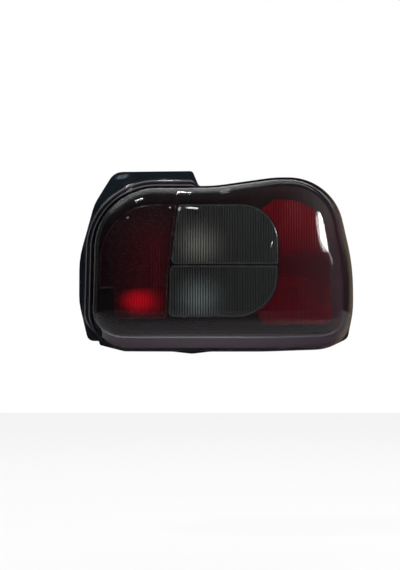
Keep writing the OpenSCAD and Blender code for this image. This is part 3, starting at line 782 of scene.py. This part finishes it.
def buildEdges(name, outlines, v):
    points, quads = [], []
    section = v["section"]
    for outline in outlines:
        at, normal = outlineRing(outline, v["along"])
        base = sum(len(p) for p in points)
        face = lensValues["foot"] - crown(at[:, 0], v["level"]) + v["gap"]
        rows = []
        for outward, proud in section:
            p = at + outward * normal
            rows.append(np.stack([p[:, 0], face - proud, p[:, 1]], 1))
        points.append(np.concatenate(rows))
        ring = bandQuads(len(section), v["along"], base)
        joint = ring[: v["along"]] - base
        last = (len(section) - 1) * v["along"]
        # the last row joins the first
        joint = np.where(joint < v["along"], joint + last, joint - v["along"]) + base
        quads += [ring, joint]
    return meshObject(name, np.concatenate(points), np.concatenate(quads))


def edgeGloss(first, second):
    def build(g):
        chips = g.noise(5.0, 4)
        return {
            "Base Color": g.mix(chips, first, second),
            "Roughness": g.smooth(chips, 0.35, 0.7, 0.08, 0.3),
        }

    return build


for name, kind, slot, first, second in (
    ("clearEdges", "clear", "clear_lens", (0.05, 0.06, 0.055), (0.17, 0.19, 0.18)),
    ("redEdges", "red", "red_lens", (0.02, 0.002, 0.003), (0.10, 0.007, 0.010)),
):
    edges = buildEdges(name, edgeValues[kind], edgeValues)
    edges.data.materials.append(material(name, {"IOR": 1.6}, edgeGloss(first, second)))
    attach(edges, "root")


# --- polished pads on the inner lenses' shoulders ---
# x, z, width, height, turn in degrees, and the way they face
padValues = {
    "pads": [
        (-29.0, 65.4, 15.0, 3.0, -6, (-0.232, -0.870, 0.435)),
        (-42.4, 64.2, 2.2, 5.5, -24, (-0.232, -0.870, 0.435)),
        (-52.6, 66.2, 2.4, 2.2, 0, (-0.225, -0.872, 0.435)),
        (-98.6, 55.8, 3.0, 1.6, 25, (-0.184, -0.873, 0.452)),
        (42.8, 53.4, 1.5, 1.8, 0, (-0.262, -0.860, 0.437)),
        (57.2, 27.0, 1.5, 7.0, -10, (0.400, -0.910, 0.090)),
    ],
    "rings": (0.0, 0.35, 0.7, 0.92, 1.0),
    "around": 28,
    "dome": 0.05,
    "depth": 0.6,
}


def buildPads(v):
    points, quads = [], []
    count = v["around"]
    a = 2 * math.pi * np.arange(count) / count
    for x, z, width, height, turn, facing in v["pads"]:
        c, s = math.cos(math.radians(turn)), math.sin(math.radians(turn))
        # a rounded oblong: |u|^3 + |w|^3 = 1
        reach = (np.abs(np.cos(a)) ** 3 + np.abs(np.sin(a)) ** 3) ** (-1 / 3)
        u, w = reach * np.cos(a) * width / 2, reach * np.sin(a) * height / 2
        across, up = u * c - w * s, u * s + w * c
        slopeX, slopeZ = facing[0] / -facing[1], facing[2] / -facing[1]
        face = lensValues["foot"] - crown(x, edgeValues["level"]) + edgeValues["gap"]
        lift = np.max(across * slopeX + up * slopeZ) + 0.15
        base = sum(len(p) for p in points)
        rows = []
        for share in v["rings"][::-1]:
            px, pz = across * share, up * share
            proud = lift - px * slopeX - pz * slopeZ + v["dome"] * (1 - share**2)
            rows.append(np.stack([x + px, face - proud, z + pz], 1))
        rows.insert(0, np.stack([x + across, np.full(count, face + v["depth"]), z + up], 1))
        rows.insert(0, np.stack([x + 0 * across, np.full(count, face + v["depth"]), z + 0 * up], 1))
        points.append(np.concatenate(rows))
        quads.append(bandQuads(len(rows), count, base))
    return meshObject("shoulderPads", np.concatenate(points), np.concatenate(quads), joined=True)


def padGloss(g):
    ripple = g.noise(2.5, 2)
    return {
        "Base Color": g.mix(ripple, (0.10, 0.11, 0.11), (0.16, 0.17, 0.17)),
        "Roughness": g.smooth(ripple, 0.3, 0.7, 0.04, 0.1),
        "Normal": g.bump(ripple, 0.05, 0.6),
    }


shoulderPads = buildPads(padValues)
shoulderPads.data.materials.append(material("padGloss", {"IOR": 1.6}, padGloss))
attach(shoulderPads, "root")


# --- reflectors: bright metal film with moulded facets ---
def reflectorMetal(g):
    x, y, z = g.axes()
    facets = g.math("PINGPONG", x, 2.0) * 0.5 + g.math("PINGPONG", z, 2.0) * 0.5
    haze = g.noise(9, 3)
    return {
        "Base Color": g.mix(haze, (0.72, 0.73, 0.75), (0.85, 0.86, 0.87)),
        "Roughness": g.smooth(haze, 0.3, 0.7, 0.16, 0.30),
        "Normal": g.bump(facets, 0.25, 0.8),
    }


metal = material("reflectorMetal", {"Metallic": 1.0}, reflectorMetal)
for name in ("tail", "fog", "indicator", "reversing", "stop"):
    dress(name + "_reflector", metal)


# --- bulbs ---
def bulbGlass(colour):
    def build(g):
        smear = g.noise(5, 3)
        return {
            "Base Color": g.mix(smear, colour, tuple(c * 0.8 for c in colour)),
            "Roughness": g.smooth(smear, 0.3, 0.7, 0.02, 0.08),
        }

    return build


clearGlass = material("bulbClear", {"Alpha": 0.12, "IOR": 1.5}, bulbGlass((0.8, 0.82, 0.84)))
amberGlass = material("bulbAmber", {"Alpha": 0.6, "IOR": 1.5}, bulbGlass((0.75, 0.28, 0.04)))


def capBrass(g):
    stain = g.noise(2.5, 4)
    grain = g.noise(0.6, 2)
    return {
        "Base Color": g.mix(stain, (0.66, 0.50, 0.24), (0.50, 0.36, 0.16)),
        "Roughness": g.smooth(grain, 0.3, 0.7, 0.22, 0.4),
        "Normal": g.bump(grain, 0.02),
    }


brass = material("capBrass", {"Metallic": 1.0}, capBrass)
for name in ("tail", "fog", "indicator", "reversing", "stop"):
    dress(name + "_bulb_glass", amberGlass if name == "indicator" else clearGlass)
    dress(name + "_bulb_cap", brass)


# --- carrier, strips, seals ---
def carrierPlastic(g):
    grain = g.noise(0.8, 2)
    cloud = g.noise(22, 3)
    return {
        "Base Color": g.mix(cloud, (0.62, 0.60, 0.54), (0.70, 0.68, 0.63)),
        "Roughness": g.smooth(grain, 0.3, 0.7, 0.38, 0.5),
        "Normal": g.bump(grain, 0.03, 0.6),
    }


def stripBrass(g):
    brushed = g.noise(0.5, 3, g.stretched((1.0, 1.0, 0.08)))
    stain = g.noise(6, 4)
    return {
        "Base Color": g.mix(stain, (0.78, 0.60, 0.30), (0.62, 0.44, 0.20)),
        "Roughness": g.smooth(brushed, 0.3, 0.7, 0.2, 0.38),
        "Normal": g.bump(brushed, 0.015),
    }


def sealRubber(g):
    pits = g.noise(0.7, 3)
    return {
        "Base Color": g.mix(pits, (0.012, 0.012, 0.013), (0.022, 0.022, 0.022)),
        "Roughness": g.smooth(pits, 0.3, 0.7, 0.62, 0.8),
        "Normal": g.bump(pits, 0.05, 0.7),
    }


def gasketFoam(g):
    cells = g.node("ShaderNodeTexVoronoi", None, {"Vector": g.point(), "Scale": 1.1})
    soft = g.noise(9, 3)
    return {
        "Base Color": g.mix(soft, (0.018, 0.018, 0.019), (0.034, 0.033, 0.033)),
        "Roughness": g.smooth(soft, 0.3, 0.7, 0.85, 0.95),
        "Normal": g.bump(cells, 0.25, 0.7),
    }


dress("bulb_carrier", material("carrierPlastic", {"IOR": 1.5}, carrierPlastic))
strips = material("stripBrass", {"Metallic": 1.0}, stripBrass)
for name in ("earth", "tail", "stop", "fog", "indicator", "reversing"):
    dress(name + "_strip", strips)
rubber = material("sealRubber", {"IOR": 1.5}, sealRubber)
for name in ("lens_seal", "breather_cap"):
    dress(name, rubber)
foam = material("gasketFoam", {"IOR": 1.45}, gasketFoam)
for name in ("body_gasket", "carrier_seal"):
    dress(name, foam)
print("materials on the solids")


# --- stage: pale floor, white surroundings that darken behind the camera ---
stageValues = {
    "floorDrop": -300.0,
    "floorHalf": 2600.0,
    "floorColour": (0.70, 0.66, 0.70),
    "floorSecond": (0.73, 0.70, 0.73),
    "white": 0.85,
    "shownFrom": (-420, -180),
    "dark": 0.05,
    "right": 0.45,
    "ceiling": 0.25,
    "backdrop": 0.9,
}


def buildFloor(v):
    n = 24
    side = np.linspace(-v["floorHalf"], v["floorHalf"], n + 1)
    x, y = np.meshgrid(side, side)
    points = np.stack([x.ravel(), y.ravel(), np.full(x.size, v["floorDrop"])], 1)
    k = (np.arange(n)[:, None] * (n + 1) + np.arange(n)).ravel()
    made = meshObject("floor", points, np.stack([k, k + 1, k + n + 2, k + n + 1], 1))
    shade = bpy.data.materials.new("floor")
    shade.use_nodes = True
    tree = shade.node_tree
    tree.nodes.clear()
    g = Graph(tree)
    x, y, z = g.axes()
    shown = g.shown(g.smooth(y, *v["shownFrom"]))
    cloud = g.noise(400, 2)
    diffuse = g.node(
        "ShaderNodeBsdfPrincipled",
        None,
        {"Base Color": g.mix(cloud, v["floorColour"], v["floorSecond"]), "Roughness": 0.7},
    )
    white = g.node("ShaderNodeEmission", None, {"Color": (1, 1, 1), "Strength": 1.0})
    both = g.node("ShaderNodeMixShader", None, {0: shown * v["white"], 1: diffuse, 2: white})
    output = tree.nodes.new("ShaderNodeOutputMaterial")
    tree.links.new(both.socket, output.inputs[0])
    # its white is for show and isn't sampled as a lamp
    shade.cycles.emission_sampling = "NONE"
    made.data.materials.append(shade)


buildFloor(stageValues)


def buildWorld(v):
    world = bpy.data.worlds.new("world")
    bpy.context.scene.world = world
    world.use_nodes = True
    tree = world.node_tree
    tree.nodes.clear()
    g = Graph(tree)
    direction = g.node("ShaderNodeTexCoord", out="Generated")
    x, y, z = g.axes(direction)
    side = g.smooth(x, 0.35, 0.95, 0.0, v["right"]) * g.smooth(y, 0.18, -0.05)
    level = side + g.smooth(z, 0.4, 0.9, v["dark"], v["ceiling"])
    behind = g.smooth(y, 0.28, 0.8)
    level = g.math("MAXIMUM", level, behind * v["backdrop"])
    level = g.math("MAXIMUM", level, g.shown(behind))
    background = g.node("ShaderNodeBackground", None, {"Color": (1, 1, 1), "Strength": level})
    output = tree.nodes.new("ShaderNodeOutputWorld")
    tree.links.new(background.socket, output.inputs[0])


buildWorld(stageValues)

# --- lights: a strip overhead, a window and a small low light at the right, two lamps above ---
lightValues = [
    {
        "name": "overhead",
        "at": (-200, 620, 1150),
        "aim": (0, -20, 0),
        "size": (2200, 700),
        "watts": 13,
        "shape": "RECTANGLE",
    },
    {
        "name": "window",
        "at": (1000, -790, 332),
        "aim": (110, -30, 30),
        "size": (260, 270),
        "watts": 16.5,
        "shape": "ELLIPSE",
    },
    {
        "name": "lamp",
        "at": (-600, -620, 1230),
        "aim": (-60, -30, 30),
        "size": (170, 170),
        "watts": 8,
        "shape": "ELLIPSE",
    },
    {
        "name": "spot",
        "at": (-90, 120, 1200),
        "aim": (-30, -30, 30),
        "size": (60, 60),
        "watts": 1.5,
        "shape": "ELLIPSE",
    },
    {
        "name": "low",
        "at": (1160, -590, 182),
        "aim": (110, -30, 30),
        "size": (55, 75),
        "watts": 0.9,
        "shape": "ELLIPSE",
    },
]


def addLight(v):
    data = bpy.data.lights.new(v["name"], "AREA")
    data.shape = v["shape"]
    data.size, data.size_y = v["size"][0] / 1000, v["size"][1] / 1000
    data.energy = v["watts"]
    lamp = bpy.data.objects.new(v["name"], data)
    bpy.context.scene.collection.objects.link(lamp)
    lamp.location = Vector(v["at"]) / 1000
    aim = Vector(v["aim"]) / 1000
    lamp.rotation_euler = (aim - lamp.location).to_track_quat("-Z", "Y").to_euler()


for values in lightValues:
    addLight(values)
print("stage and lights:", len(lightValues), "lights")
